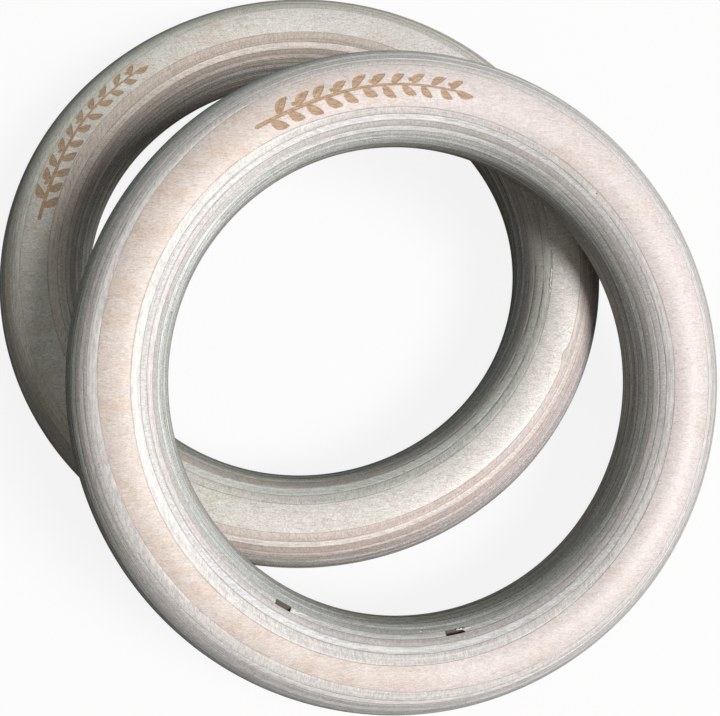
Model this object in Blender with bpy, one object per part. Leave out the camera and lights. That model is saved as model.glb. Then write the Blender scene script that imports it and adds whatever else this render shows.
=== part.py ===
# A pair of laminated birch plywood gymnastics rings, loose: ring A lies flat
# and ring B leans on it.  Each ring is a round-section torus turned from a
# glued stack of flat veneers, so every veneer (ply) is its own annular solid,
# or two strips end to end where it is spliced.
# Units: metres, +Z up.  The floor is Z = 0, and the pair's box is centred over
# the world origin.

import math

import bmesh
import bpy
from mathutils import Matrix, Vector

for obj in list(bpy.data.objects):
    bpy.data.objects.remove(obj, do_unlink=True)

# ------------------------------------------------------------ dimensions
RING_R = 0.0982           # radius of the ring's centreline
GRIP_D = 0.033            # diameter of the round section
TUBE_R = GRIP_D / 2
PLY_COUNT = 23            # veneers in one ring
FACE_T = 0.000825         # what is left of the outer veneers at the crown
GLUE_GAP = 0.00012        # the glue film between two veneers
LAND_W = 0.0040           # sanded flat along each crown, full width

# Veneer thicknesses under the face veneer, top down.  The veneers not listed
# share the rest of the stack equally.
RING_A_UPPER = [0.001543] * 10
RING_B_UPPER = [0.001353, 0.001205, 0.001469, 0.001551, 0.001485, 0.001551,
                0.001535]

# Ring B has its low side on the floor and leans on ring A.
LEAN = math.radians(16.7726)         # angle between the two rings' planes
LEAN_DIR = math.radians(-55.8671)    # plan direction of ring B's low side
B_OFFSET = (0.038108, -0.052584)     # plan offset of ring B's centre from A's

# Ring B's veneers slope down towards STACK_TILT_DIR in the ring's own frame,
# dropping by STACK_TILT between the axis and the centreline radius.
STACK_TILT = 0.026 * TUBE_R
STACK_TILT_DIR = math.radians(65.0)
WALL_STEPS = 4            # refinements of a tilted glue line's meeting with the wall

SEGMENTS = 36             # facets round a full ring
FACET_DEG = 360.0 / SEGMENTS
MIN_FACET_DEG = 2.0       # facet angles this near a strip's end are left out
SHARP_ANGLE = math.radians(35)

# Layers of ring B made of two strips butted together: ply -> strips, each
# (name, start, end), with an end as degrees at the (inner, outer) wall.
RING_B_SPLICES = {
    5: [('short', (243.0, 241.2), (277.4, 279.3)),
        ('long', (281.4, 279.7), (597.6, 600.8))],
    6: [('short', (272.35, 272.4), (300.15, 300.1)),
        ('long', (300.5, 300.45), (632.0, 632.05))],
    7: [('short', (141.3, 141.3), (164.9, 164.9)),
        ('long', (165.3, 165.3), (500.9, 500.9))],
}


# ------------------------------------------------------------ materials
BIRCH_FACE = (0.83, 0.74, 0.68)      # face and back veneers
BIRCH_ODD = (0.80, 0.74, 0.66)       # odd inner plies
BIRCH_EVEN = (0.70, 0.63, 0.56)      # even inner plies
BIRCH_ROUGHNESS = 0.55

# Each ply is darkened by 0 to SHADE_LEVELS - 1 steps, and the stride mixes
# the order of the levels through the stack.
SHADE_STEP = 0.02
SHADE_STRIDE = 7
SHADE_LEVELS = 4


def birch_material(name, ply):
    if ply in (1, PLY_COUNT):
        colour = BIRCH_FACE
    else:
        colour = BIRCH_ODD if ply % 2 else BIRCH_EVEN
    shade = 1.0 - SHADE_STEP * ((ply * SHADE_STRIDE) % SHADE_LEVELS)
    material = bpy.data.materials.new(name)
    material.use_nodes = True
    inputs = material.node_tree.nodes['Principled BSDF'].inputs
    inputs['Base Color'].default_value = (*(c * shade for c in colour), 1.0)
    inputs['Roughness'].default_value = BIRCH_ROUGHNESS
    return material


# ------------------------------------------------------------ veneer sections
# A section is a list of (radius, height) points in the ring's frame.  Side is
# -1 for the inner wall and +1 for the outer wall.
def glue_heights(upper):
    """Heights of the glue lines above the ring's mid plane, top down."""
    z = TUBE_R - FACE_T
    heights = [z]
    for thickness in upper:
        z -= thickness
        heights.append(z)
    rest = PLY_COUNT - 2 - len(upper)
    step = (z + TUBE_R - FACE_T) / rest
    for _ in range(rest):
        z -= step
        heights.append(z)
    return heights


def wall_point(height, side, angle, tilt):
    """The point where a veneer's flat surface meets the tube wall.

    A tilted surface's height depends on the radius, and the radius on the
    height, so the two are found together by repetition."""
    radius = RING_R
    for _ in range(WALL_STEPS):
        along_tilt = radius * math.cos(angle - STACK_TILT_DIR)
        z = height - tilt * along_tilt / RING_R
        radius = RING_R + side * TUBE_R * math.sqrt(1.0 - (z / TUBE_R) ** 2)
    return radius, z


def crown(height, angle, tilt, up):
    """Shoulder, land, land, shoulder over the top crown (up = 1, outer to
    inner) or under the bottom one (up = -1, inner to outer)."""
    half_land = LAND_W / 2
    land_angle = math.acos(half_land / TUBE_R)
    sides = []
    for side in (1, -1):
        _, z = wall_point(height, side, angle, tilt)
        # the shoulder is halfway round the tube from the wall point to the land
        shoulder_angle = (math.asin(abs(z) / TUBE_R) + land_angle) / 2
        shoulder = (RING_R + side * TUBE_R * math.cos(shoulder_angle),
                    up * TUBE_R * math.sin(shoulder_angle))
        land = (RING_R + side * half_land, up * TUBE_R)
        sides.append((shoulder, land))
    outer, inner = sides
    points = [outer[0], outer[1], inner[1], inner[0]]
    return points if up > 0 else points[::-1]


def veneer_section(top, bottom, angle, tilt):
    """A veneer's section between two glue lines, anticlockwise from the lower
    inner corner.  A missing glue line (None) means the veneer ends in a crown."""
    half_gap = GLUE_GAP / 2
    if bottom is None:
        lower = crown(top - half_gap, angle, tilt, up=-1)
    else:
        lower = [wall_point(bottom + half_gap, side, angle, tilt) for side in (-1, 1)]
    if top is None:
        upper = crown(bottom + half_gap, angle, tilt, up=1)
    else:
        upper = [wall_point(top - half_gap, side, angle, tilt) for side in (1, -1)]
    return lower + upper


# ------------------------------------------------------------ building solids
# A station is a place round the ring where a section stands, as degrees at
# the (inner, outer) wall.  The two differ where a strip's end is cut at a slant.
def ring_stations():
    return [(i * FACET_DEG, i * FACET_DEG) for i in range(SEGMENTS)]


def strip_stations(start, end):
    """The strip's two ends, with the full ring's facet angles between them so
    that the strip follows the same walls as its neighbours."""
    start_deg = sum(start) / 2
    end_deg = sum(end) / 2
    between = []
    for i in range(math.ceil(start_deg / FACET_DEG), math.ceil(end_deg / FACET_DEG)):
        facet = i * FACET_DEG
        if min(facet - start_deg, end_deg - facet) > MIN_FACET_DEG:
            between.append((facet, facet))
    return [start, *between, end]


def sweep(name, section_at, stations, closed, material, frame):
    """One solid swept through the stations, joined up or capped at its ends."""
    bm = bmesh.new()
    rows = []
    for station in stations:
        inner, outer = (math.radians(degrees) for degrees in station)
        row = []
        for radius, z in section_at((inner + outer) / 2):
            across = (radius - (RING_R - TUBE_R)) / (2 * TUBE_R)
            angle = inner + (outer - inner) * across
            row.append(bm.verts.new((radius * math.cos(angle),
                                     radius * math.sin(angle), z)))
        rows.append(row)

    following = rows[1:] + rows[:1] if closed else rows[1:]
    for row, after in zip(rows, following):
        for j in range(len(row)):
            k = (j + 1) % len(row)
            bm.faces.new((row[j], after[j], after[k], row[k]))
    if not closed:
        bm.faces.new(rows[0])
        bm.faces.new(rows[-1][::-1])
    bmesh.ops.recalc_face_normals(bm, faces=bm.faces)

    mesh = bpy.data.meshes.new(name)
    bm.to_mesh(mesh)
    bm.free()
    mesh.shade_smooth()
    mesh.set_sharp_from_angle(angle=SHARP_ANGLE)
    mesh.materials.append(material)
    obj = bpy.data.objects.new(name, mesh)
    bpy.context.collection.objects.link(obj)
    obj.parent = frame
    return obj


def build_veneer(prefix, ply, section_at, strips, frame):
    """One veneer layer: a full annulus, or its strips where it is spliced."""
    name = prefix + {1: '_face_veneer', PLY_COUNT: '_back_veneer'}.get(ply, f'_ply_{ply:02d}')
    material = birch_material(f'{name}_birch', ply)
    if not strips:
        return [sweep(name, section_at, ring_stations(), True, material, frame)]
    return [sweep(f'{name}_{label}_strip', section_at, strip_stations(start, end),
                  False, material, frame)
            for label, start, end in strips]


def build_ring(prefix, upper, tilt, splices, frame):
    limits = [None, *glue_heights(upper), None]
    made = []
    for ply in range(1, PLY_COUNT + 1):
        top, bottom = limits[ply - 1:ply + 1]

        def section_at(angle, top=top, bottom=bottom):
            return veneer_section(top, bottom, angle, tilt)

        made += build_veneer(prefix, ply, section_at, splices.get(ply), frame)
    return made


# ------------------------------------------------------------ placing the rings
def ring_frame(name, location, axis):
    """An empty at the ring's centre: local Z is the ring's axis, and local X
    is world X dropped onto the ring's plane."""
    z = axis.normalized()
    x = (Vector((1, 0, 0)) - z * z.x).normalized()
    y = z.cross(x)
    matrix = Matrix((x, y, z)).transposed().to_4x4()
    matrix.translation = location
    empty = bpy.data.objects.new(name, None)
    bpy.context.collection.objects.link(empty)
    empty.empty_display_size = RING_R
    empty.matrix_world = matrix
    return empty


def centre_in_plan(pieces, frames):
    """Move the frames so that the pieces' box is centred over the origin."""
    bpy.context.view_layer.update()
    points = [obj.matrix_world @ v.co for obj in pieces for v in obj.data.vertices]
    for i in (0, 1):
        values = [point[i] for point in points]
        middle = (min(values) + max(values)) / 2
        for frame in frames:
            frame.location[i] -= middle
    bpy.context.view_layer.update()


lean_axis = Vector((math.sin(LEAN) * math.cos(LEAN_DIR),
                    math.sin(LEAN) * math.sin(LEAN_DIR),
                    math.cos(LEAN)))
b_centre = Vector((*B_OFFSET, TUBE_R + RING_R * math.sin(LEAN)))
frame_a = ring_frame('ring_a_axis', Vector((0, 0, TUBE_R)), Vector((0, 0, 1)))
frame_b = ring_frame('ring_b_axis', b_centre, lean_axis)

ring_a = build_ring('ring_a', RING_A_UPPER, 0.0, {}, frame_a)
ring_b = build_ring('ring_b', RING_B_UPPER, STACK_TILT, RING_B_SPLICES, frame_b)
centre_in_plan(ring_a + ring_b, (frame_a, frame_b))
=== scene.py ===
# Looks for a pair of laminated birch plywood gymnastics rings.
#
# Metres, +Z up. Ring A lies flat on the floor. Ring B is shifted towards +X -Y and
# leans that way: its low side is level with ring A, its other side is raised.
# Each ring is built in its own frame (axis along local Z) as a stack of 23 veneers.
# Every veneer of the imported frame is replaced, one for one, by a finer one of the
# same size: sanded wall with a slight crown, a fine V at every glue line, ragged
# butt joints, and a shallow laser-cut laurel sprig on each face veneer.  Materials
# read the wood's own coordinates from the mesh, so the grain runs through the wood.
import math

import bpy
import numpy as np
from mathutils import Matrix, Vector


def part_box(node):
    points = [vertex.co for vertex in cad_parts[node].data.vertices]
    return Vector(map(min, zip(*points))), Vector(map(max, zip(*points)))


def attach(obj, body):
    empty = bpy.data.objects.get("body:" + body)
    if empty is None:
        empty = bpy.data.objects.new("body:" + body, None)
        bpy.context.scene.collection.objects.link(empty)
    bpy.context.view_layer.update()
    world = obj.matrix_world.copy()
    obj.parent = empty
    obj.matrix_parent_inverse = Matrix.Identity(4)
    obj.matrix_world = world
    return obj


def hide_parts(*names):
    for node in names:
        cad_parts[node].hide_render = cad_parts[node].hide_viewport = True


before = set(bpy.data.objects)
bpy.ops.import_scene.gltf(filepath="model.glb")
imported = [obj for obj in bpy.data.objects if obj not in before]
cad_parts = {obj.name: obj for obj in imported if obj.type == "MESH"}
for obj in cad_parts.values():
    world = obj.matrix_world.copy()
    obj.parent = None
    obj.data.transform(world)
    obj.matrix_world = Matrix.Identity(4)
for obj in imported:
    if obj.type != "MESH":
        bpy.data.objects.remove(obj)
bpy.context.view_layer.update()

# ------------------------------------------------------------ dimensions
MM = 1000                 # millimetres in a metre
RING_RADIUS = 0.0982      # of the ring's centreline
GRIP_RADIUS = 0.0165      # half of the 33 mm grip
PLIES = 23                # ply 1 is the face veneer, ply 23 the back veneer
FACE_THICKNESS = 0.000825
# thicknesses of the upper veneers below the face; the rest share what remains
RING_A_UPPER = [0.001543] * 10
RING_B_UPPER = [0.001353, 0.001205, 0.001469, 0.001551, 0.001485, 0.001551,
                0.001535]
RING_B_LEAN = math.radians(16.7726)
RING_B_LEAN_DIRECTION = math.radians(-55.8671)
RING_B_OFFSET = (0.038108, -0.052584)
STACK_TILT = 0.026 * GRIP_RADIUS       # ring B's sheets are not quite level
TILT_DIRECTION = math.radians(65.0)
CROWN_SHIFT = 0.035 * GRIP_RADIUS      # the crown sits a touch outside a circle's
RING_STEPS = 288          # sections round a full ring
WALL_POINTS = 8           # points down a veneer's wall
INNER, OUTER = -1, 1      # the two walls: towards and away from the ring's axis

# Angles: theta runs round the ring, rise runs up the round section of the grip
# from 0 at its equator to 90 degrees at its crown.

# How far the uppermost glue lines sit below (+) or above (-) where a flat stack
# would leave them, in degrees of rise at every 30 degrees of theta.
# Keys are (ring, glue line from the top, wall).
LINE_SHIFT = {
    ('ring_b', 1, INNER): (1.7, 2.1, 2.4, 2.7, 2.1, 1.4, 2.7, 1.6, 0.9, 1.4, 2.4, 3.1),
    ('ring_b', 1, OUTER): (3.5, 3.7, 3.0, 4.5, 6.0, 2.8, 2.0, 0.7, 0.0, 2.7, 6.0, 6.6),
    ('ring_b', 2, OUTER): (3.0, 3.0, 3.0, 4.0, 5.0, 4.5, 3.5, 1.8, 0.0, 2.2, 3.5, 3.5),
    ('ring_b', 3, OUTER): (1.2, 1.2, 1.2, 1.6, 2.0, 1.8, 1.4, 0.7, 0.0, 0.9, 1.4, 1.4),
    ('ring_a', 1, INNER): (-0.1, 0.9, 1.7, 2.1, 1.7, 1.0, 0.8, 0.4, -0.8, -2.5, -2.9,
                           -2.2),
    ('ring_a', 1, OUTER): (2.7, 1.5, 0.5, -1.5, -3.5, -4.0, -2.2, -0.5, 0.3, 1.3, 3.0,
                           3.3),
    ('ring_a', 2, INNER): (-3.1, -1.5, 0.1, 1.3, 1.7, 1.3, 0.1, -1.5, -3.1, -4.2,
                           -4.7, -4.2),
    ('ring_a', 3, INNER): (-1.5, -0.6, 0.3, 1.0, 1.2, 1.0, 0.3, -0.6, -1.5, -2.2,
                           -2.4, -2.2),
}

# Veneers made of two strips: (part, (start inner, start outer, end inner, end
# outer)), the theta in degrees of each end at each wall.
SPLICES = {
    ('ring_b', 5): [('ply_05_short_strip', (241.35, 241.03, 277.5, 279.47)),
                    ('ply_05_long_strip', (281.8, 279.53, 597.6, 600.97))],
    ('ring_b', 6): [('ply_06_short_strip', (272.25, 272.25, 300.28, 300.28)),
                    ('ply_06_long_strip', (300.34, 300.34, 632.12, 632.19))],
    ('ring_b', 7): [('ply_07_short_strip', (141.12, 141.12, 165.05, 165.05)),
                    ('ply_07_long_strip', (165.11, 165.11, 501.06, 501.06))],
}

# Torn fibres, all on the inner wall: (theta in degrees, rise in degrees,
# length in mm, turn from the ring's direction in degrees)
SPLINTERS = {
    ('ring_b', 'ply_05_short_strip'): [
        (241.9, 44.6, 1.9, 6), (242.4, 43.7, 1.7, -14), (243.0, 43.3, 2.1, 12),
        (241.6, 43.0, 1.2, -30), (243.7, 42.4, 1.6, -4), (244.4, 41.8, 1.5, 10),
        (242.1, 42.2, 1.0, 35), (244.9, 42.3, 0.9, -18), (241.7, 45.6, 1.0, 24)],
    ('ring_b', 'ply_05_long_strip'): [
        (281.5, 42.0, 1.7, -10), (280.9, 41.1, 1.9, 8), (281.9, 43.2, 1.3, 26),
        (282.4, 41.6, 1.4, -16), (280.3, 40.5, 1.2, 14), (282.9, 42.4, 1.0, 5),
        (237.3, 45.4, 0.8, 20)],
    ('ring_b', 'ply_06_long_strip'): [
        (272.0, 36.6, 0.8, 25), (271.9, 35.4, 0.7, -30)],
    ('ring_a', 'ply_02'): [
        (5.3, 71.9, 2.8, 3), (4.0, 71.4, 1.8, -7), (3.0, 72.0, 1.4, 12),
        (6.5, 71.7, 1.1, -18), (1.2, 71.6, 1.2, 5), (-5.2, 71.8, 2.6, 2),
        (-6.6, 71.4, 2.2, -6), (-4.1, 72.1, 1.3, 14), (-7.9, 71.9, 1.6, 8),
        (-9.2, 71.6, 1.0, -12), (7.6, 71.8, 0.9, 9)],
}


# ------------------------------------------------------------ curves
def smooth(start, end, value):
    """0 to 1 with soft ends as value goes from start to end."""
    share = np.clip((np.asarray(value, float) - start) / (end - start), 0.0, 1.0)
    return share * share * (3 - 2 * share)


def hash01(*keys):
    """A repeatable number from 0 to 1."""
    number = 0.5
    for key in keys:
        number = math.sin(number * 91.7 + key * 12.9898 + 4.1) * 43758.5453
        number -= math.floor(number)
    return number


def waves(theta, seed, counts, amount):
    """A smooth closed curve round the ring, about +-amount."""
    curve = np.zeros_like(theta)
    total = 0.0
    for count in counts:
        height = 0.6 + 0.8 * hash01(seed, count, 1)
        curve = curve + height * np.sin(count * theta + 6.283 * hash01(seed, count, 2))
        total += height
    return curve * (amount * 1.6 / total)


def periodic(values, theta):
    """A smooth closed curve through values spaced evenly round the ring."""
    spectrum = np.fft.rfft(np.asarray(values)) / len(values)
    curve = np.full_like(theta, spectrum[0].real)
    for k in range(1, 5):
        curve = curve + 2 * (spectrum[k].real * np.cos(k * theta)
                             - spectrum[k].imag * np.sin(k * theta))
    return curve


def signed_degrees(theta):
    """Theta in degrees, from -180 to 180."""
    return (np.degrees(theta) + 180.0) % 360.0 - 180.0


# ------------------------------------------------------------ the stack
def glue_heights(upper):
    """Heights of the 22 glue lines, from the face veneer down."""
    z = GRIP_RADIUS - FACE_THICKNESS
    heights = [z]
    for thickness in upper:
        z -= thickness
        heights.append(z)
    rest = PLIES - 2 - len(upper)
    step = (z - (-GRIP_RADIUS + FACE_THICKNESS)) / rest
    for _ in range(rest):
        z -= step
        heights.append(z)
    return heights


def flat_line_rise(height, side, theta, tilt):
    """Rise at which a glue line of a flat, tilted stack meets the wall."""
    radius = np.full_like(theta, RING_RADIUS)
    for _ in range(4):
        z = height - tilt * radius * np.cos(theta - TILT_DIRECTION) / RING_RADIUS
        cosine = np.sqrt(np.maximum(0.0, 1.0 - (z / GRIP_RADIUS) ** 2))
        radius = RING_RADIUS + side * cosine * GRIP_RADIUS
    return np.arcsin(np.clip(z / GRIP_RADIUS, -1.0, 1.0))


def section_point(theta, side, rise, grip):
    """Ring coordinates of a point at distance grip from the centreline."""
    x = side * grip * np.cos(rise)
    z = grip * np.sin(rise)
    radius = RING_RADIUS + (x + CROWN_SHIFT * smooth(0.75, 1.0, z / GRIP_RADIUS))
    return np.stack([radius * np.cos(theta), radius * np.sin(theta), z], -1)


class Ring:
    def __init__(self, prefix, upper, tilt, matrix, seed):
        self.prefix = prefix
        self.glue_heights = glue_heights(upper)
        self.tilt = tilt
        self.matrix = matrix
        self.seed = seed

    def line_rise(self, index, side, theta):
        """Rise of glue line index (1 to 22) on a wall, with its small drift."""
        rise = flat_line_rise(self.glue_heights[index - 1], side, theta, self.tilt)
        drift = waves(theta, self.seed * 50 + index * 3 + side, (2, 5, 9), 0.00003)
        shift = LINE_SHIFT.get((self.prefix, index, side))
        if shift:
            rise = rise - np.radians(periodic(shift, theta))
        if (self.prefix, index, side) == ('ring_a', 1, OUTER):
            # the face veneer steps back where it was sanded through
            degrees = signed_degrees(theta)
            rise = rise + (0.075 * smooth(-20.6, -21.8, degrees)
                           * smooth(-25.5, -22.0, degrees))
            rise = rise + (0.020 * smooth(-25.5, -21.0, degrees)
                           * smooth(-19, -21, degrees))
        # a drift in height moves the line further where the wall is shallow
        return rise + drift / (GRIP_RADIUS * np.maximum(0.3, np.cos(rise)))

    def groove(self, index, side, theta):
        """Half width and depth of the fine V at a glue line."""
        seed = self.seed * 31 + index * 7 + side
        width = 0.000060 + waves(theta, seed, (4, 7, 13, 23), 0.000022)
        depth = 0.000045 + waves(theta, seed + 0.5, (3, 8, 17, 29), 0.000022)
        if (self.prefix, index, side) == ('ring_a', 1, INNER):
            # a chipped stretch of the face glue line
            degrees = signed_degrees(theta)
            chip = smooth(-11, -7, degrees) * (1 - smooth(6, 9, degrees))
            width = width + chip * 0.00016 * (0.6 + 0.4 * np.sin(degrees * 2.1))
            depth = depth + chip * 0.00016
        return np.maximum(width, 0.00003), np.maximum(depth, 0.000015)

    def swell(self, side, theta):
        """Slow unevenness of a whole wall."""
        return waves(theta, self.seed * 11 + side, (2, 3, 7), 0.00004)

    def wall_point(self, rise, side, theta, depth, ply):
        """Ring coordinates of a wall point, depth measured into the wood."""
        step = waves(theta, self.seed * 70 + ply * 5 + side, (1, 2, 4), 0.000012)
        grip = GRIP_RADIUS + self.swell(side, theta) + step - depth
        return section_point(theta, side, rise, grip)


def ply_wall(ring, ply, side, theta):
    """Rows of points down one wall of a veneer, and their wood_edge values:
    mm to the nearest glue line, share of the way down, and side."""
    top = ring.line_rise(ply - 1, side, theta)
    bottom = ring.line_rise(ply, side, theta)
    length = (top - bottom) * GRIP_RADIUS
    top_width, top_depth = ring.groove(ply - 1, side, theta)
    bottom_width, bottom_depth = ring.groove(ply, side, theta)
    top_lip = np.minimum(top_width / length, 0.2)
    bottom_lip = np.minimum(bottom_width / length, 0.2)
    spaces = WALL_POINTS - 3      # between the two lips
    shares = [np.zeros_like(theta), top_lip]
    shares += [top_lip + (1 - top_lip - bottom_lip) * k / spaces
               for k in range(1, spaces)]
    shares += [1 - bottom_lip, np.ones_like(theta)]
    points, edges = [], []
    for share in shares:
        rise = top + (bottom - top) * share
        groove = np.where(share <= 0, top_depth,
                          np.where(share >= 1, bottom_depth, 0.0))
        # every veneer is sanded to a very slight crown between its glue lines
        crown = 0.000013 * (4 * share * (1 - share)) ** 0.6
        points.append(ring.wall_point(rise, side, theta, groove - crown, ply))
        distance = np.minimum(share, 1 - share) * length * MM
        edges.append(np.stack([distance, share, np.full_like(theta, float(side))], -1))
    return points, edges


# ------------------------------------------------------------ torn fibres
def splinter(number, degrees, rise_degrees, length, turn):
    """Points and faces of one torn fibre: a small closed spindle on the wall."""
    theta = math.radians(degrees)
    rise = math.radians(rise_degrees)
    outward = INNER * math.cos(rise)
    normal = np.array([outward * math.cos(theta), outward * math.sin(theta),
                       math.sin(rise)])
    along = np.array([-math.sin(theta), math.cos(theta), 0.0])
    down = np.cross(normal, along)
    turn = math.radians(turn)
    axis = along * math.cos(turn) + down * math.sin(turn)
    cross = np.cross(normal, axis)
    base = section_point(theta, INNER, rise, GRIP_RADIUS)
    half = length / 2 / MM
    wide = 0.00017 + 0.00011 * hash01(number, degrees, 5)
    high = 0.00014 + 0.00010 * hash01(number, degrees, 6)
    lift = 0.00012 + 0.00025 * hash01(number, degrees, 7)
    root_depth = 0.00012
    stations, corners = 5, 6      # the first and last station are single points
    points = [base - axis * half - normal * root_depth]
    loops = []
    for i in range(1, stations - 1):
        share = i / (stations - 1)
        fatness = math.sin(math.pi * share) ** 0.6
        centre = base + axis * half * (2 * share - 1) + normal * (lift * share * share)
        wobble = 0.00005 * math.sin(7 * share + number)
        loops.append(range(len(points), len(points) + corners))
        for corner in range(corners):
            angle = math.pi * 2 * corner / corners
            points.append(centre
                          + cross * (wide * fatness * math.cos(angle) + wobble)
                          + normal * (high * fatness * math.sin(angle)))
    end = len(points)
    points.append(base + axis * half + normal * lift)
    faces = []
    for this in range(corners):
        other = (this + 1) % corners
        faces.append((0, loops[0][other], loops[0][this]))
        faces.append((end, loops[-1][this], loops[-1][other]))
        for near, far in zip(loops, loops[1:]):
            faces.append((near[this], near[other], far[other], far[this]))
    return points, faces


def add_splinters(ring, node, verts, faces, edge, mark):
    """Append the torn fibres listed for a veneer to its mesh data."""
    for number, row in enumerate(SPLINTERS.get((ring.prefix, node), ())):
        points, spindle_faces = splinter(number, *row)
        first = len(verts)
        faces = faces + [tuple(first + i for i in face) for face in spindle_faces]
        count = len(points)
        verts = np.concatenate([verts, points])
        edge = np.concatenate([edge, [(0.6, 0.5, float(INNER))] * count])
        mark = np.concatenate([mark, [(0.0, 0.0, 1.0)] * count])
    return verts, faces, edge, mark


# ------------------------------------------------------------ mesh building
def add_attribute(mesh, name, values):
    attribute = mesh.attributes.new(name, 'FLOAT_VECTOR', 'POINT')
    attribute.data.foreach_set('vector', values.astype(np.float32).ravel())


def build_veneer(ring, node, verts, faces, edge, mark):
    """One closed mesh in the frame of the pair, with the wood's own coordinates.

    wood_mark holds (laser cut, rim of the cut, 0) on a face veneer and
    (0, glue stain and painted shade on glued or torn surfaces, torn fibre) on the
    others."""
    verts, faces, edge, mark = add_splinters(ring, node, verts, faces, edge, mark)
    fan = np.asarray([(face[0], face[k], face[k + 1])
                      for face in faces for k in range(1, len(face) - 1)])
    first, second, third = verts[fan[:, 0]], verts[fan[:, 1]], verts[fan[:, 2]]
    # a negative volume means the faces look inwards
    if np.einsum('ij,ij->i', first, np.cross(second, third)).sum() < 0:
        faces = [tuple(reversed(face)) for face in faces]
    matrix = np.array(ring.matrix)
    placed = verts @ matrix[:3, :3].T + matrix[:3, 3]
    name = f'{ring.prefix}_{node}_wood'
    mesh = bpy.data.meshes.new(name)
    mesh.from_pydata(placed.tolist(), [], faces)
    mesh.update()
    add_attribute(mesh, 'wood_pos', verts * MM)
    add_attribute(mesh, 'wood_edge', edge)
    add_attribute(mesh, 'wood_mark', mark)
    mesh.shade_smooth()
    mesh.set_sharp_from_angle(angle=math.radians(35))
    obj = bpy.data.objects.new(name, mesh)
    bpy.context.scene.collection.objects.link(obj)
    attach(obj, ring.prefix)
    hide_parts(f'{ring.prefix}_{node}')
    return obj


def closed_faces(rows, columns):
    """Quads of a grid that closes on itself both ways."""
    faces = []
    for i in range(rows):
        here, there = i * columns, ((i + 1) % rows) * columns
        for j in range(columns):
            k = (j + 1) % columns
            faces.append((here + j, there + j, there + k, here + k))
    return faces


def full_ply(ring, ply, node):
    """A veneer that runs unbroken round the ring."""
    theta = np.arange(RING_STEPS) * (2 * math.pi / RING_STEPS)
    inner_points, inner_edges = ply_wall(ring, ply, INNER, theta)
    outer_points, outer_edges = ply_wall(ring, ply, OUTER, theta)
    columns = inner_points + outer_points[::-1]
    verts = np.stack(columns, 1).reshape(-1, 3)
    edge = np.stack(inner_edges + outer_edges[::-1], 1).reshape(-1, 3)
    faces = closed_faces(RING_STEPS, len(columns))
    return build_veneer(ring, node, verts, faces, edge, np.zeros_like(edge))


# ------------------------------------------------------------ spliced veneers
# shares of the way from inner to outer wall where a strip's end has points
ACROSS = [0.0, 0.004, 0.035, 0.075, 0.16, 0.4, 0.7, 0.93, 0.996, 1.0]
# shares of a strip's length at the close-set sections next to each end
NEAR_END = [0.0, 0.002, 0.005, 0.012]


def ragged(across, down, seed):
    """Roughness of a sawn or torn veneer end, in degrees."""
    tooth = (math.sin(down * 17.0 + seed)
             + 0.7 * math.sin(down * 41.0 + across * 9.0 + seed * 2))
    grain = hash01(round(across * 64), round(down * 64), seed) - 0.5
    return 0.10 * tooth + 0.12 * grain


def end_angle(inner, outer, across, down, sign, seed):
    """Theta in degrees of a point on a strip's end: a wide gap at a wall
    closes to a tight joint a little way in."""
    angle = inner + (outer - inner) * float(smooth(0.02, 0.17, across))
    size = 1.0 if abs(inner - outer) > 0.5 and across < 0.1 else 0.14
    return angle + sign * abs(ragged(across, down, seed)) * 0.9 * size


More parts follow.
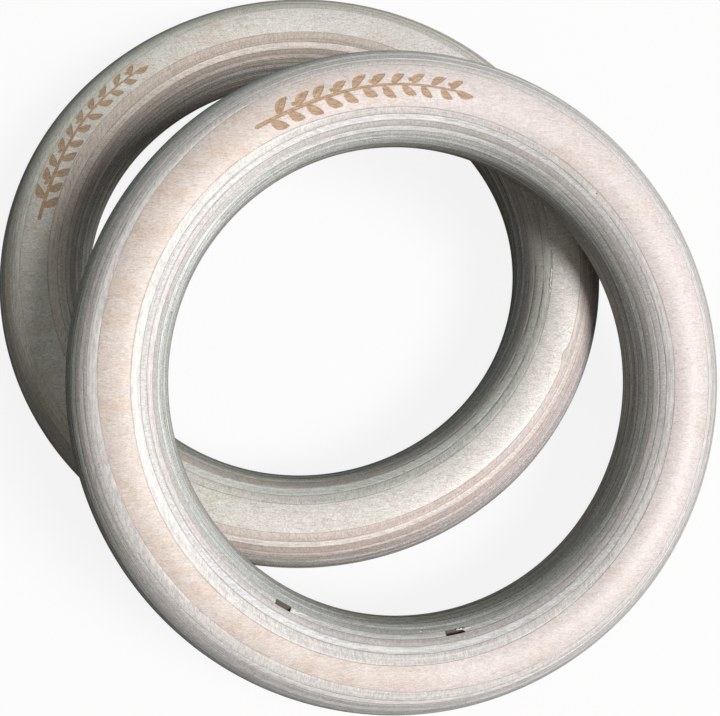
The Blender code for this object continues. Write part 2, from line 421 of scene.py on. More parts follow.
def spliced_ply(ring, ply, node, ends, seed):
    """A strip of a veneer layer that ends in butt joints."""
    start_inner, start_outer, end_inner, end_outer = ends
    last_j, last_k = len(ACROSS) - 1, WALL_POINTS - 1
    margin = NEAR_END[-1]
    count = int(abs(end_inner - start_inner) / 1.25) + 2
    shares = np.array(NEAR_END
                      + [margin + (1 - 2 * margin) * k / count for k in range(1, count)]
                      + [1 - share for share in reversed(NEAR_END)])
    # one profile loop: inner wall down, bottom flat out, outer wall up, top in
    loop = [(0, k) for k in range(last_k + 1)]
    loop += [(j, last_k) for j in range(1, last_j)]
    loop += [(last_j, k) for k in range(last_k, -1, -1)]
    loop += [(j, 0) for j in range(last_j - 1, 0, -1)]

    def grid_points(j, k, share):
        """Points and edge values at column j, row k, share along the strip."""
        across, down = ACROSS[j], k / last_k
        start = end_angle(start_inner, start_outer, across, down, 1, seed)
        end = end_angle(end_inner, end_outer, across, down, -1, seed + 3.3)
        theta = np.radians(np.atleast_1d(start * (1 - share) + end * share))
        inner_points, inner_edges = ply_wall(ring, ply, INNER, theta)
        outer_points, outer_edges = ply_wall(ring, ply, OUTER, theta)
        return (inner_points[k] * (1 - across) + outer_points[k] * across,
                inner_edges[k] * (1 - across) + outer_edges[k] * across)

    columns = [grid_points(j, k, shares) for j, k in loop]
    verts = np.stack([points for points, _ in columns], 1).reshape(-1, 3)
    edge = np.stack([edges for _, edges in columns], 1).reshape(-1, 3)
    rows, around = len(shares), len(loop)
    faces = []
    for i in range(rows - 1):
        for j in range(around):
            k = (j + 1) % around
            here, there = i * around, (i + 1) * around
            faces.append((here + j, there + j, there + k, here + k))

    # the two end faces share the rim points of the first and last sections
    loop_index = {place: i for i, place in enumerate(loop)}
    cap_verts, cap_edges = [], []
    for row, share, flip in ((0, 0.0, False), (rows - 1, 1.0, True)):
        index = {}
        for j in range(last_j + 1):
            for k in range(last_k + 1):
                if (j, k) in loop_index:
                    index[j, k] = row * around + loop_index[j, k]
                else:
                    points, edges = grid_points(j, k, share)
                    index[j, k] = len(verts) + len(cap_verts)
                    cap_verts.append(points[0])
                    cap_edges.append(edges[0])
        for j in range(last_j):
            for k in range(last_k):
                face = (index[j, k], index[j, k + 1], index[j + 1, k + 1],
                        index[j + 1, k])
                faces.append(tuple(reversed(face)) if flip else face)
    verts = np.concatenate([verts, np.array(cap_verts)])
    edge = np.concatenate([edge, np.array(cap_edges)])
    # the torn end faces and the glued flats carry a dark glue stain and painted shade
    mark = np.zeros_like(edge)
    mark[-len(cap_verts):, 1] = 1.0
    for i, (j, _) in enumerate(loop):
        if 0 < j < last_j:
            mark[i:rows * around:around, 1] = 1.0
    return build_veneer(ring, node, verts, faces, edge, mark)


# ------------------------------------------------------------ the sprig
# All in mm: along runs along the stem, across runs over the grip.
STEM_START, STEM_END = -38.0, 33.0
LEAF_COUNT, FIRST_LEAF, LEAF_PITCH = 20, -33.0, 3.35


def leaf(along, across, base, angle, length, width):
    """Signed distance (negative inside) to a pointed leaf with a vein."""
    cosine, sine = math.cos(angle), math.sin(angle)
    share = ((along - base[0]) * cosine + (across - base[1]) * sine) / length
    inside = np.clip(share, 0.0, 1.0)
    offset = -(along - base[0]) * sine + (across - base[1]) * cosine
    offset = offset - 0.09 * length * np.sin(inside * math.pi) * np.sign(sine)
    half = width * np.sin(math.pi * inside ** 0.85) ** 0.75
    beyond = np.maximum(np.maximum(-share, share - 1.0), 0.0) * length
    distance = np.where(beyond > 0, np.hypot(beyond, np.abs(offset)),
                        np.abs(offset) - half)
    vein = np.abs(offset) - 0.11 * (1 - 0.6 * inside)
    no_vein = 9.0
    vein = np.where((share > 0.16) & (share < 0.86), vein, no_vein)
    return np.maximum(distance, -vein)


def stem_line(along):
    return 0.55 * np.sin((along + 8) * 0.085)


def sprig(along, across):
    """Signed distance to a laurel sprig about 78 mm long, 9 mm high."""
    across = across + 0.35
    offset = np.abs(across - stem_line(along))
    thickness = 0.60 - 0.32 * smooth(-37, STEM_END, along)
    distance = offset - thickness
    distance = np.where(along < STEM_START,
                        np.hypot(along - STEM_START, offset) - 0.45, distance)
    distance = np.where(along > STEM_END,
                        np.hypot(along - STEM_END, offset) - 0.15, distance)
    for k in range(LEAF_COUNT):
        up = 1 if k % 2 else -1
        base = FIRST_LEAF + LEAF_PITCH * k
        stem = stem_line(base)
        size = 1.0 - 0.22 * k / (LEAF_COUNT - 1)
        distance = np.minimum(distance, leaf(
            along, across, base=(base, stem + 0.35 * up),
            angle=math.radians(37 + 5 * math.sin(k * 1.7)) * up,
            length=(6.7 + 0.5 * math.sin(k * 2.3)) * size, width=1.48 * size))
        if k % 4 == 2:
            # a berry
            distance = np.minimum(distance, np.hypot(
                along - (base + 2.9), across - (stem - 1.75 * up)) - 0.62)
    return np.minimum(distance, leaf(
        along, across, base=(STEM_END - 0.4, stem_line(STEM_END)),
        angle=math.radians(-6), length=6.4, width=1.15))


def face_ply(ring, ply, node, sprig_degrees=None):
    """The face or the back veneer, the face with a sprig centred at an angle."""
    line = 1 if ply == 1 else PLIES - 1
    sign = 1 if ply == 1 else -1
    carved = sprig_degrees is not None
    degrees = np.arange(RING_STEPS) * (360.0 / RING_STEPS)
    if carved:
        # closely spaced sections under the sprig
        low, high, gap = sprig_degrees - 25.2, sprig_degrees + 25.2, 0.4
        plain_part = degrees[(degrees < low - gap) | (degrees > high + gap)]
        degrees = np.sort(np.concatenate([plain_part, np.arange(low, high, 0.095)]))
    theta = np.radians(degrees)
    # angles from the middle of the crown, negative towards the inner wall
    inner_end = -(math.pi / 2 - np.abs(ring.line_rise(line, INNER, theta)))
    outer_end = math.pi / 2 - np.abs(ring.line_rise(line, OUTER, theta))
    inner_width, inner_depth = ring.groove(line, INNER, theta)
    outer_width, outer_depth = ring.groove(line, OUTER, theta)
    inner_lip = inner_end + inner_width / GRIP_RADIUS
    outer_lip = outer_end - outer_width / GRIP_RADIUS
    count = 66 if carved else 26
    columns, edges, marks = [], [], []
    for k in range(count):
        cut = np.zeros_like(theta)
        rim = np.zeros_like(theta)
        if k == 0:
            angle, depth = inner_end, inner_depth
        elif k == count - 1:
            angle, depth = outer_end, outer_depth
        else:
            angle = inner_lip + (outer_lip - inner_lip) * ((k - 1) / (count - 3))
            depth = np.zeros_like(theta)
            if carved:
                along = (sprig_degrees - degrees) * math.pi / 180 * RING_RADIUS * MM
                across = angle * GRIP_RADIUS * MM
                near = np.abs(degrees - sprig_degrees) < 25
                wobble = (0.05 * np.sin(along * 9.1 + across * 6.3)
                          * np.sin(along * 3.7 - across * 8.9))
                distance = sprig(along, across) + wobble
                cut = np.where(near, 1 - smooth(-0.10, 0.10, distance), 0.0)
                rim = np.where(near, np.exp(-((distance + 0.06) / 0.17) ** 2), 0.0)
                depth = cut * (0.00015 + 0.00003 * np.sin(
                    along * 5.3 + 2 * np.sin(across * 4.1)))
        side = np.where(angle < 0, float(INNER), float(OUTER))
        swell = np.where(angle < 0, ring.swell(INNER, theta),
                         ring.swell(OUTER, theta))
        # the walls' swell fades out towards the crown
        swell = swell * np.clip(np.abs(angle) / 0.3, 0, 1)
        columns.append(section_point(theta, side, sign * (math.pi / 2 - np.abs(angle)),
                                     GRIP_RADIUS + swell - depth))
        distance = np.minimum(angle - inner_end, outer_end - angle) * GRIP_RADIUS * MM
        share = (angle - inner_end) / (outer_end - inner_end)
        edges.append(np.stack([np.maximum(distance, 0), share, side], -1))
        marks.append(np.stack([cut, rim, np.zeros_like(theta)], -1))
    verts, edge, mark = (np.stack(rows, 1).reshape(-1, 3)
                         for rows in (columns, edges, marks))
    faces = closed_faces(len(theta), count)
    return build_veneer(ring, node, verts, faces, edge, mark)


# ------------------------------------------------------------ node helpers
class Signal:
    """A node's number output, open to ordinary arithmetic."""

    def __init__(self, net, socket):
        self.net = net
        self.socket = socket


def arithmetic(operation, swapped=False):
    def apply(self, other):
        pair = (other, self) if swapped else (self, other)
        return self.net.math(operation, *pair)
    return apply


for method, operation in (('add', 'ADD'), ('sub', 'SUBTRACT'), ('mul', 'MULTIPLY'),
                          ('truediv', 'DIVIDE'), ('pow', 'POWER')):
    setattr(Signal, f'__{method}__', arithmetic(operation))
    setattr(Signal, f'__r{method}__', arithmetic(operation, swapped=True))


class Net:
    """Short calls for building the node tree of a material or a world.

    Numbers come back as Signals, vectors and colours as plain sockets."""

    def __init__(self, owner):
        owner.use_nodes = True
        self.tree = owner.node_tree
        self.nodes = self.tree.nodes

    def fill(self, node, inputs):
        """Set or link inputs given as {name or index: value}."""
        for key, value in inputs.items():
            socket = node.inputs[key]
            if isinstance(value, Signal):
                value = value.socket
            if isinstance(value, bpy.types.NodeSocket):
                self.tree.links.new(value, socket)
            elif isinstance(value, tuple) and len(socket.default_value) == 4:
                socket.default_value = (*value, 1.0)
            else:
                socket.default_value = value

    def add(self, kind, inputs, **settings):
        node = self.nodes.new(kind)
        for name, value in settings.items():
            setattr(node, name, value)
        self.fill(node, inputs)
        return node

    def math(self, operation, first, second=0.0, clamp=False):
        node = self.add('ShaderNodeMath', {0: first, 1: second, 2: 0.0},
                        operation=operation, use_clamp=clamp)
        return Signal(self, node.outputs[0])

    def vector_math(self, operation, first, second):
        return self.add('ShaderNodeVectorMath', {0: first, 1: second},
                        operation=operation).outputs

    def distance(self, first, second):
        return Signal(self, self.vector_math('DISTANCE', first, second)['Value'])

    def attribute(self, name):
        return self.add('ShaderNodeAttribute', {}, attribute_name=name,
                        attribute_type='GEOMETRY').outputs['Vector']

    def split(self, vector):
        outputs = self.add('ShaderNodeSeparateXYZ', {0: vector}).outputs
        return [Signal(self, outputs[i]) for i in range(3)]

    def join(self, x, y, z):
        return self.add('ShaderNodeCombineXYZ', {0: x, 1: y, 2: z}).outputs[0]

    def noise(self, vector, detail, roughness):
        node = self.add('ShaderNodeTexNoise', {
            'Vector': vector, 'Scale': 1.0, 'Detail': detail, 'Roughness': roughness})
        return Signal(self, node.outputs['Fac'])

    def patches(self, vector, size, detail, roughness):
        """Noise with cells of about the given size (x, y, z) in mm."""
        factors = tuple(1 / length for length in size)
        scaled = self.vector_math('MULTIPLY', vector, factors)[0]
        return self.noise(scaled, detail, roughness)

    def ramp(self, value, span, to=(0.0, 1.0)):
        """A soft step between the two values of to as value crosses span."""
        node = self.add('ShaderNodeMapRange', {
            'Value': value, 'From Min': span[0], 'From Max': span[1],
            'To Min': to[0], 'To Max': to[1]}, interpolation_type='SMOOTHSTEP')
        return Signal(self, node.outputs[0])

    def mix(self, factor, first, second, blend='MIX'):
        return self.add('ShaderNodeMix', {0: factor, 6: first, 7: second},
                        data_type='RGBA', blend_type=blend).outputs[2]

    def scale_colour(self, colour, value):
        return self.mix(1.0, colour, self.join(value, value, value), 'MULTIPLY')

    def bump(self, height, distance, strength):
        return self.add('ShaderNodeBump', {
            'Strength': strength, 'Distance': distance, 'Height': height}).outputs[0]

    def camera_ray(self):
        node = self.add('ShaderNodeLightPath', {})
        return Signal(self, node.outputs['Is Camera Ray'])


def swing(noise, amount):
    """Noise about zero instead of about a half, times amount."""
    return (noise - 0.5) * amount


def toward(x, y, degrees):
    """How far (x, y) lies in a direction given in degrees from +X."""
    angle = math.radians(degrees)
    return x * math.cos(angle) + y * math.sin(angle)


def wood_frame(net, seed):
    """Wood coordinates in mm, plain and moved by the seed so veneers differ."""
    position = net.attribute('wood_pos')
    shift = (37.1 * seed, 11.7 * seed, 5.3 * seed)
    return position, net.vector_math('ADD', position, shift)[0]


def ring_noise(net, position, side, seed, run, drop, detail, roughness):
    """Noise in streaks along the ring: run mm round, drop mm in height."""
    x, y, z = net.split(position)
    radius = net.math('SQRT', x * x + y * y)
    turns = RING_RADIUS * MM / run
    across = x / radius * turns
    back = y / radius * turns
    height = z / drop + side * (40.0 + seed)
    return net.noise(net.join(across + seed * 3.7, back, height), detail, roughness)


# ------------------------------------------------------------ wall veneers
# Finish of the veneers that show, by ply: long grain colour, end grain colour,
# (amount, direction in degrees) of the slow change of tone across the ring.
# The others share HIDDEN_FINISH.
HIDDEN_FINISH = ((0.605, 0.63, 0.61), (0.45, 0.455, 0.42), (0.12, 135))
WALL_FINISH = {
    'ring_b': {
        2: ((0.815, 0.800, 0.785), (0.585, 0.548, 0.528), (0.08, 159)),
        3: ((0.815, 0.820, 0.830), (0.610, 0.590, 0.585), (0.06, 153)),
        4: ((0.755, 0.720, 0.722), (0.560, 0.535, 0.530), (0.10, 154)),
        5: ((0.755, 0.775, 0.765), (0.550, 0.540, 0.520), (0.15, 120)),
        6: ((0.730, 0.765, 0.760), (0.560, 0.572, 0.562), (0.18, 125)),
        7: ((0.665, 0.705, 0.700), (0.575, 0.600, 0.590), (0.18, 125)),
        8: ((0.630, 0.660, 0.660), (0.560, 0.570, 0.555), (0.22, 135)),
        9: ((0.560, 0.605, 0.615), (0.515, 0.545, 0.530), (0.24, 165)),
    },
    'ring_a': {
        2: ((0.715, 0.690, 0.640), (0.545, 0.472, 0.415), (0.11, 185)),
        3: ((0.780, 0.768, 0.730), (0.528, 0.488, 0.448), (0.10, 157)),
        4: ((0.610, 0.572, 0.540), (0.555, 0.488, 0.430), (0.06, 167)),
        5: ((0.700, 0.675, 0.645), (0.522, 0.492, 0.485), (0.08, 108)),
        6: ((0.650, 0.655, 0.670), (0.475, 0.458, 0.415), (0.04, 225)),
        7: ((0.595, 0.605, 0.575), (0.525, 0.518, 0.505), (0.04, 290)),
        8: ((0.620, 0.660, 0.690), (0.420, 0.430, 0.430), (0.06, 228)),
    },
}
STRIP_TONE = {'ply_06_short_strip': 1.05, 'ply_07_short_strip': 1.12}
# dark spots on the inner wall: (theta, rise, size in mm, darkness)
SPOTS = {
    ('ring_b', 2): (45.5, 64.4, 0.45, 0.7),
    ('ring_b', 7): (165.1, 27.5, 0.42, 0.85),
}
WARM_TINT = (1.04, 0.93, 0.88)       # multiplies the end grain colour
PORE_COLOUR = (0.26, 0.21, 0.16)
WALL_GLUE_COLOUR = (0.21, 0.18, 0.13)
SPOT_COLOUR = (0.07, 0.055, 0.045)
# dark glue stain and painted shade for the torn ends and glued flats in the joints
STAIN_AND_SHADE_COLOUR = (0.115, 0.105, 0.08)
TORN_COLOUR = (0.98, 0.97, 0.94)


def inner_wall_mm(degrees, rise_degrees):
    """Wood coordinates of a place on the inner wall."""
    theta, rise = math.radians(degrees), math.radians(rise_degrees)
    radius = RING_RADIUS + INNER * GRIP_RADIUS * math.cos(rise)
    return (radius * math.cos(theta) * MM, radius * math.sin(theta) * MM,
            GRIP_RADIUS * math.sin(rise) * MM)


def wall_material(name, ring, ply, seed, long_colour, end_colour, drift):
    """A veneer seen on the turned wall: long grain to end grain round the ring."""
    material = bpy.data.materials.new(name)
    net = Net(material)
    ramp = net.ramp
    on_ring_a = ring.prefix == 'ring_a'
    position, moved = wood_frame(net, seed)
    edge, _, side = net.split(net.attribute('wood_edge'))
    _, stain_and_shade, torn = net.split(net.attribute('wood_mark'))
    x, y, z = net.split(position)
    grain_axis = 1 - ply % 2      # 0: grain along local X, 1: along local Y

    def grain_noise(along, across, height, detail, roughness):
        size = (across, along) if grain_axis else (along, across)
        return net.patches(moved, (*size, height), detail, roughness)

    def streaks(seed_shift, run, drop, detail, roughness):
        return ring_noise(net, position, side, seed + seed_shift, run, drop,
                          detail, roughness)

    # how much end grain shows: the wall's direction against the grain
    radius_squared = x * x + y * y
    along = (x, y)[grain_axis]
    share = along * along / radius_squared
    height_share = z / (GRIP_RADIUS * MM)
    steepness = net.math('SUBTRACT', 1.0, height_share * height_share, clamp=True)
    end_grain = share * steepness ** 0.6

    def facing(degrees):
        """1 on the side of the ring in that direction, -1 on the other."""
        return toward(x, y, degrees) / net.math('SQRT', radius_squared)

    fibre = grain_noise(along=9.0, across=0.42, height=(0.525, 0.42)[grain_axis],
                        detail=3.0, roughness=0.75)
    patch = grain_noise(along=26.0, across=5.0, height=1.6, detail=2.0, roughness=0.5)
    lines = streaks(0, run=70.0, drop=0.27, detail=2.0, roughness=0.80)
    hatch = grain_noise(along=4.0, across=0.95, height=0.95, detail=2.0, roughness=0.6)
    hatch = ramp(hatch, span=(0.40, 0.60), to=(-1.0, 1.0))
    bands = streaks(9, run=55.0, drop=0.55, detail=1.0, roughness=0.5)
    streak = streaks(21, run=60.0, drop=0.30, detail=1.0, roughness=0.6)
    end_grain = ramp(end_grain + swing(patch, amount=0.35), span=(0.05, 0.85))
    colour = net.mix(end_grain, long_colour, end_colour)
    # the lower veneers are rougher and more streaked than the upper ones
    deep = ramp(height_share, span=(0.72, 0.42), to=(0.30, 1.0))
    # a warmer variation inside the same veneer
    warm = ramp(bands, span=(0.45, 0.68))
    warm_colour = tuple(part * tint for part, tint in zip(end_colour, WARM_TINT))
    colour = net.mix(warm * deep * 0.30, colour, warm_colour)
    value = 1.0 + swing(fibre, amount=0.95)
    value = value + swing(lines, amount=deep * 2.3)
    value = value + hatch * 0.065
    # coarser lines and a sanded grit, both stronger lower down
    coarse = streaks(33, run=40.0, drop=0.60, detail=1.0, roughness=0.5)
    value = value + swing(coarse, amount=deep * 0.55)
    grit = grain_noise(along=0.42, across=0.42, height=0.80, detail=1.0, roughness=0.5)
    grit = ramp(grit, span=(0.38, 0.62), to=(-1.0, 1.0))
    grit_strength = 1.3 if on_ring_a else 1.0
    value = value + grit * (0.03 * grit_strength + deep * (0.11 * grit_strength))
    value = value + swing(patch, amount=0.10)
    # thin dark and thin pale lines that run with the turned wall
    value = value - deep * ramp(streak, span=(0.58, 0.64), to=(0.0, 0.26))
    value = value + deep * ramp(streak, span=(0.33, 0.39), to=(0.17, 0.0))
    drift_amount, drift_direction = drift
    value = value * (1.0 + facing(drift_direction) * drift_amount)
    # painted shade: the walls darken towards the bottom of the grip
    value = value * ramp(height_share, span=(0.0, 0.42), to=(0.85, 1.0))
    colour = net.scale_colour(colour, value)
    if on_ring_a:
        # painted light: walls that look towards -50 degrees get a warm painted light
        # and turn browner, the opposite walls a cool one and turn greener
        look = facing(-50.0) * side
        # on ply 3, painted light brightens the walls that look towards -50 degrees
        if ply == 3:
            colour = net.scale_colour(colour, ramp(look, span=(0.1, 0.7),
                                                   to=(1.0, 1.13)))
        look = look * (1.25 if ply == 2 else 1.0)
        red = 1.0 + look * 0.012
        green = 1.0 - look * 0.050
        blue = 1.0 - look * ramp(side, span=(-1.0, 1.0), to=(0.070, 0.035))
        colour = net.mix(1.0, colour, net.join(red, green, blue), 'MULTIPLY')
    # pores show as dark ticks where the grain meets the wall
    pores = grain_noise(along=1 / 0.572, across=1 / 2.6, height=1 / 2.6,
                        detail=1.0, roughness=0.5)
    pores = ramp(pores, span=(0.65, 0.74))
    colour = net.mix(pores * 0.26, colour, PORE_COLOUR)
    # broken glue lines at both edges of the veneer
    broken = streaks(4, run=9.0, drop=3.0, detail=2.0, roughness=0.6)
    line = ramp(edge, span=(0.02, 0.21), to=(1.0, 0.0))
    line = line * ramp(broken, span=(0.28, 0.64), to=(0.30, 0.72))
    colour = net.mix(line, colour, WALL_GLUE_COLOUR)
    if (ring.prefix, ply) in SPOTS:
        degrees, rise_degrees, size, darkness = SPOTS[ring.prefix, ply]
        distance = net.distance(position, inner_wall_mm(degrees, rise_degrees))
        spot = ramp(distance, span=(size * 0.5, size), to=(darkness, 0.0))
        colour = net.mix(spot, colour, SPOT_COLOUR)
    # glue stain and painted shade darken the torn ends and glued flats in the joints
    colour = net.mix(stain_and_shade, colour, STAIN_AND_SHADE_COLOUR)
    colour = net.mix(torn, colour, TORN_COLOUR)
    relief = fibre * 0.7 + lines * 0.6 - pores * 0.5
    net.fill(net.nodes['Principled BSDF'], {
        'Base Color': colour,
        'Roughness': 0.50 + (fibre + end_grain * 0.4) * 0.16,
        'Specular IOR Level': 0.35,
        'Normal': net.bump(relief, distance=0.00003, strength=0.8)})
    return material


# ------------------------------------------------------------ face veneers
# sprig: theta in degrees of its middle; grit: strength of the fine grit;
# far_tone, near_tone: painted shade, a tone at the two ends of the line at
# TONE_DIRECTION, the far end towards the key light
FACE_FINISH = {
    'ring_a': dict(sprig=151.0, pale=(0.82, 0.81, 0.765), tan=(0.76, 0.715, 0.64),
                   pink=(0.84, 0.815, 0.79), grit=0.11, far_tone=1.0, near_tone=1.0),
    'ring_b': dict(sprig=101.5, pale=(0.81, 0.73, 0.68), tan=(0.76, 0.645, 0.565),
                   pink=(0.82, 0.755, 0.745), grit=0.05, far_tone=0.94,
                   near_tone=0.955),
}
TONE_DIRECTION = -37.0
FACE_GLUE_COLOUR = (0.36, 0.27, 0.18)
# the toasted floor of the sprig, from dark to pale fibres, and its specks
TOAST_DARK = (0.42, 0.275, 0.165)
TOAST_PALE = (0.72, 0.52, 0.345)
SPECK_COLOUR = (0.30, 0.185, 0.10)
# scorched edge of the sprig, outside and inside the cut
OUTER_RIM_COLOUR = (0.27, 0.165, 0.09)
INNER_RIM_COLOUR = (0.25, 0.15, 0.085)


def face_material(name, seed, finish):
    """The face veneer: wavy rotary-cut birch with flame figure and flecks."""
    material = bpy.data.materials.new(name)
    net = Net(material)
    ramp = net.ramp
    position, moved = wood_frame(net, seed)
    edge, _, side = net.split(net.attribute('wood_edge'))
    cut, rim, _ = net.split(net.attribute('wood_mark'))
    x, y, z = net.split(moved)
    # the fibres wander, so shift the cross coordinate with a slow noise
    wander = net.patches(moved, size=(9.0, 5.0, 10.0), detail=2.0, roughness=0.5)
    ripple = net.patches(moved, size=(2.6, 3.4, 10.0), detail=1.0, roughness=0.5)
    wavy_y = y + (wander * 3.2 + ripple * 0.55)

    def wavy_noise(size, detail, roughness):
        vector = net.join(x * (1 / size[0]), wavy_y * (1 / size[1]), z * (1 / size[2]))
        return net.noise(vector, detail, roughness)

    fibre = wavy_noise(size=(2.6, 0.36, 0.6), detail=3.0, roughness=0.68)
    curl = net.patches(moved, size=(2.1, 7.0, 10.0), detail=2.0, roughness=0.55)
    flecks = wavy_noise(size=(1.3, 0.22, 0.6), detail=1.0, roughness=0.5)
    flecks = ramp(flecks, span=(0.58, 0.70))
    stipple = wavy_noise(size=(1.0, 0.55, 0.6), detail=1.0, roughness=0.5)
    stipple = ramp(stipple, span=(0.40, 0.60), to=(-1.0, 1.0))
    blotch = net.patches(moved, size=(11.0, 7.0, 10.0), detail=3.0, roughness=0.55)
    cloud = net.patches(moved, size=(38.0, 24.0, 50.0), detail=2.0, roughness=0.5)
    # growth rings cut almost flat: contour lines of a slow field
    field = wavy_noise(size=(60.0, 17.0, 100.0), detail=1.0, roughness=0.45)
    contour = net.math('FRACT', field * 15.0)
    growth_ring = (ramp(contour, span=(0.72, 0.95))
                   * ramp(contour, span=(0.95, 1.0), to=(1.0, 0.0)))
    colour = net.mix(ramp(blotch, span=(0.40, 0.70)), finish['pale'], finish['tan'])
    # the sheet takes on more of the pink colour towards +X
    local_x, _, _ = net.split(position)
    pinkness = net.math('ADD', ramp(cloud, span=(0.40, 0.62), to=(0.0, 0.6)),
                        ramp(local_x, span=(-105.0, 45.0), to=(-0.45, 0.55)),
                        clamp=True)
    colour = net.mix(pinkness, colour, finish['pink'])
    colour = net.mix(growth_ring * 0.24, colour,
                     tuple(part * 0.80 for part in finish['tan']))
    value = 1.0 + swing(fibre, amount=0.74)
    value = value - flecks * 0.12
    value = value + swing(curl, amount=0.14)
    value = value + stipple * 0.046
    grit = wavy_noise(size=(0.50, 0.40, 0.6), detail=1.0, roughness=0.5)
    grit = ramp(grit, span=(0.38, 0.62), to=(-1.0, 1.0))
    value = value + grit * finish['grit']
    value = value + swing(cloud, amount=0.10)
    # painted shade: on ring B the sheet darkens slowly at two opposite sides, most
    # towards the key light where the sheen falls
    local_x, local_y, _ = net.split(position)
    far = toward(local_x, local_y, TONE_DIRECTION)
    value = value * ramp(far, span=(55.0, 98.0), to=(1.0, finish['far_tone']))
    value = value * ramp(far, span=(-98.0, -45.0), to=(finish['near_tone'], 1.0))
    colour = net.scale_colour(colour, value)
    # thin brown line of glue at both edges, cleaner on the outer side
    broken = ring_noise(net, position, side, seed + 4, run=7.0, drop=4.0,
                        detail=2.0, roughness=0.6)
    line = (ramp(edge, span=(0.03, 0.27), to=(1.0, 0.0))
            * ramp(broken, span=(0.30, 0.62), to=(0.20, 0.62)))
    line = line * ramp(side, span=(-1.0, 1.0), to=(1.0, 0.50))
    colour = net.mix(line, colour, FACE_GLUE_COLOUR)
    # the laser-cut sprig: toasted floor, darker rim, fibres still showing
    toast = net.mix(ramp(fibre, span=(0.34, 0.68)), TOAST_DARK, TOAST_PALE)
    speck = net.patches(moved, size=(1 / 1.9, 1 / 2.6, 1 / 2.2), detail=2.0,
                        roughness=0.6)
    speck = ramp(speck, span=(0.55, 0.72))
    toast = net.mix(speck * 0.45, toast, SPECK_COLOUR)
    colour = net.mix(rim * 0.40, colour, OUTER_RIM_COLOUR)
    colour = net.mix(cut, colour, toast)
    colour = net.mix(cut * rim * 0.45, colour, INNER_RIM_COLOUR)
    relief = fibre - flecks * 0.4 + wander * 2.5
    net.fill(net.nodes['Principled BSDF'], {
        'Base Color': colour,
        'Roughness': 0.26 + fibre * 0.36 + cut * 0.30,
        'Specular IOR Level': 0.50,
        'Normal': net.bump(relief, distance=0.00005, strength=0.8)})
    return material


# ------------------------------------------------------------ build the pair
def ring_matrix(location, normal):
    """Frame of a ring: local Z along normal, local X as near +X as it can be."""
    z = normal.normalized()
    x = (Vector((1, 0, 0)) - z * z.x).normalized()
    y = z.cross(x)
    matrix = Matrix((x, y, z)).transposed().to_4x4()
    matrix.translation = location
    return matrix


def build_face(ring, ply, node):
    """Face or back veneer with its material."""
    finish = FACE_FINISH[ring.prefix]
    obj = face_ply(ring, ply, node,
                   finish['sprig'] if ply == 1 else None)
    obj.data.materials.append(
        face_material(obj.name + '_birch', ring.seed * 100 + ply, finish))


def build_layer(ring, ply):
    """One inner layer of the stack, whole or in strips, with its materials."""
    seed = ring.seed * 100 + ply
    strips = SPLICES.get((ring.prefix, ply))
    if strips:
        objects = [(node, spliced_ply(ring, ply, node, ends, ply * 10.0 + i))
                   for i, (node, ends) in enumerate(strips)]
    else:
        node = f'ply_{ply:02d}'
        objects = [(node, full_ply(ring, ply, node))]
    shown = WALL_FINISH[ring.prefix]
    long_colour, end_colour, drift = shown.get(ply, HIDDEN_FINISH)
    for node, obj in objects:
        if ply in shown:
            tone = STRIP_TONE.get(node, 1.0)
        else:
            tone = 0.94 + 0.12 * hash01(seed, 8)
        obj.data.materials.append(wall_material(
            obj.name + '_birch', ring, ply, seed + 0.37 * len(obj.name),
            tuple(part * tone for part in long_colour),
            tuple(part * tone for part in end_colour), drift))


low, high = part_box('ring_a_ply_12')
centre_a = Vector(((low.x + high.x) / 2, (low.y + high.y) / 2, GRIP_RADIUS))
centre_b = centre_a + Vector((*RING_B_OFFSET, RING_RADIUS * math.sin(RING_B_LEAN)))
normal_b = Vector((math.sin(RING_B_LEAN) * math.cos(RING_B_LEAN_DIRECTION),
                   math.sin(RING_B_LEAN) * math.sin(RING_B_LEAN_DIRECTION),
                   math.cos(RING_B_LEAN)))
for ring in (Ring('ring_a', RING_A_UPPER, tilt=0.0, seed=1.0,
                  matrix=ring_matrix(centre_a, Vector((0, 0, 1)))),
             Ring('ring_b', RING_B_UPPER, tilt=STACK_TILT, seed=2.0,
                  matrix=ring_matrix(centre_b, normal_b))):
    build_face(ring, 1, 'face_veneer')
    for ply in range(2, PLIES):
        build_layer(ring, ply)
    build_face(ring, PLIES, 'back_veneer')


# ------------------------------------------------------------ floor and light
FLOOR_HALF = 4.0
FLOOR_CELLS = 16
FLOOR_Z = -0.0002         # just under the rings


def build_floor():
    """A square floor that looks white to the camera but lights little."""
    mesh = bpy.data.meshes.new('studio_floor')
    row = FLOOR_CELLS + 1
    ticks = [-FLOOR_HALF + 2 * FLOOR_HALF * i / FLOOR_CELLS for i in range(row)]
    verts = [(x, y, FLOOR_Z) for y in ticks for x in ticks]
    faces = [(j * row + i, j * row + i + 1, (j + 1) * row + i + 1, (j + 1) * row + i)
             for j in range(FLOOR_CELLS) for i in range(FLOOR_CELLS)]
    mesh.from_pydata(verts, [], faces)
    floor = bpy.data.objects.new('studio_floor', mesh)
    bpy.context.scene.collection.objects.link(floor)
    paint = bpy.data.materials.new('studio_floor_paint')
    net = Net(paint)
    camera_ray = net.camera_ray()
    net.fill(net.nodes['Principled BSDF'], {
        'Roughness': 0.9,
        'Specular IOR Level': 0.1,
        'Base Color': net.mix(camera_ray, (0.04, 0.045, 0.04), (0.11, 0.11, 0.11)),
        'Emission Color': (1.0, 1.0, 1.0),
        'Emission Strength': camera_ray * 0.88})
    mesh.materials.append(paint)


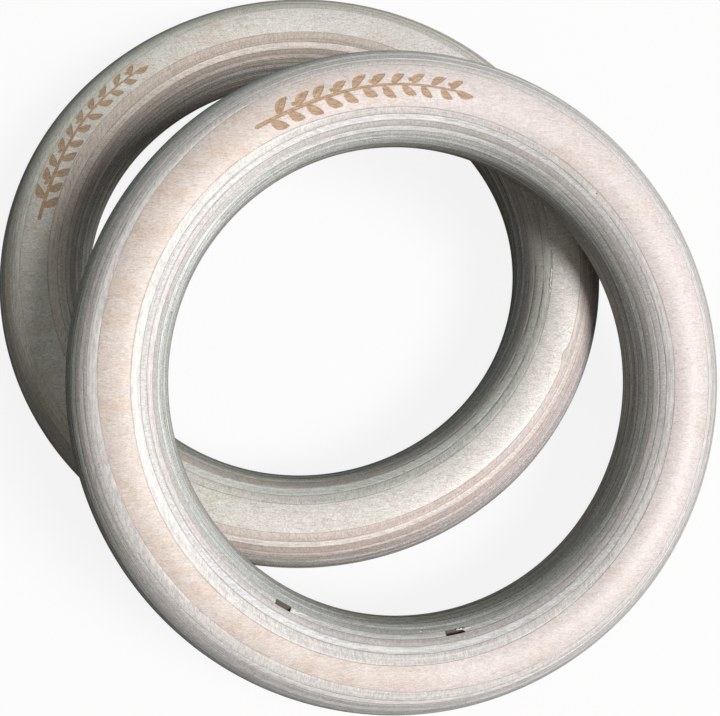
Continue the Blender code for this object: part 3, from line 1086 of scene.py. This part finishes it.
def build_world():
    """A dim studio with a soft overhead glow, near white to the camera."""
    world = bpy.data.worlds.new('studio')
    bpy.context.scene.world = world
    net = Net(world)
    direction = net.add('ShaderNodeTexCoord', {}).outputs['Generated']
    _, _, upward = net.split(direction)
    dim, overhead = (0.014, 0.018, 0.013), (0.26, 0.26, 0.24)
    sky = net.mix(net.ramp(upward, span=(0.60, 0.98)), dim, overhead)
    net.fill(net.nodes['Background'], {
        'Color': net.mix(net.camera_ray(), sky, (0.965, 0.965, 0.965)),
        'Strength': 1.0})


def area_light(name, direction, distance, size, power, colour):
    """A round light that faces a point just above the floor's middle."""
    data = bpy.data.lights.new(name, 'AREA')
    data.shape = 'DISK'
    data.size = size
    data.energy = power
    data.color = colour
    obj = bpy.data.objects.new(name, data)
    bpy.context.scene.collection.objects.link(obj)
    direction = Vector(direction).normalized()
    obj.location = Vector((0, 0, 0.03)) + direction * distance
    obj.rotation_euler = direction.to_track_quat('Z', 'Y').to_euler()


build_floor()
build_world()
area_light('key_softbox', direction=(0.640, -0.312, 0.702), distance=5.0, size=2.3,
           power=261.0, colour=(1.0, 0.965, 0.948))
# two weak reflectors: a rosy one towards -Y, a greenish one towards +Y
area_light('near_reflector', direction=(-0.22, -0.85, 0.46), distance=4.0, size=3.0,
           power=9.0, colour=(1.0, 0.76, 0.68))
area_light('far_reflector', direction=(0.08, 0.86, 0.50), distance=4.0, size=3.0,
           power=14.0, colour=(0.88, 1.0, 0.97))

# ------------------------------------------------------------ camera
# looks steeply down from the -Y side; offset from ring A's axis, height from z = 0
CAMERA_OFFSET = (0.014035, -0.145407)
CAMERA_HEIGHT = 0.401535
CAMERA_RIGHT = Vector((0.999761, 0.0, 0.021854))
CAMERA_UP = Vector((-0.005934, 0.962432, 0.271459))

camera_data = bpy.data.cameras.new('camera')
camera_data.sensor_width = 36.0
camera_data.lens = 53.046
camera_data.clip_start = 0.01
camera_data.clip_end = 50.0
camera = bpy.data.objects.new('camera', camera_data)
bpy.context.scene.collection.objects.link(camera)
view = Matrix((CAMERA_RIGHT, CAMERA_UP, CAMERA_RIGHT.cross(CAMERA_UP)))
view = view.transposed().to_4x4()
view.translation = Vector((centre_a.x + CAMERA_OFFSET[0],
                           centre_a.y + CAMERA_OFFSET[1], CAMERA_HEIGHT))
camera.matrix_world = view
bpy.context.scene.camera = camera
bpy.context.scene.view_settings.view_transform = 'Standard'
bpy.context.scene.view_settings.look = 'None'
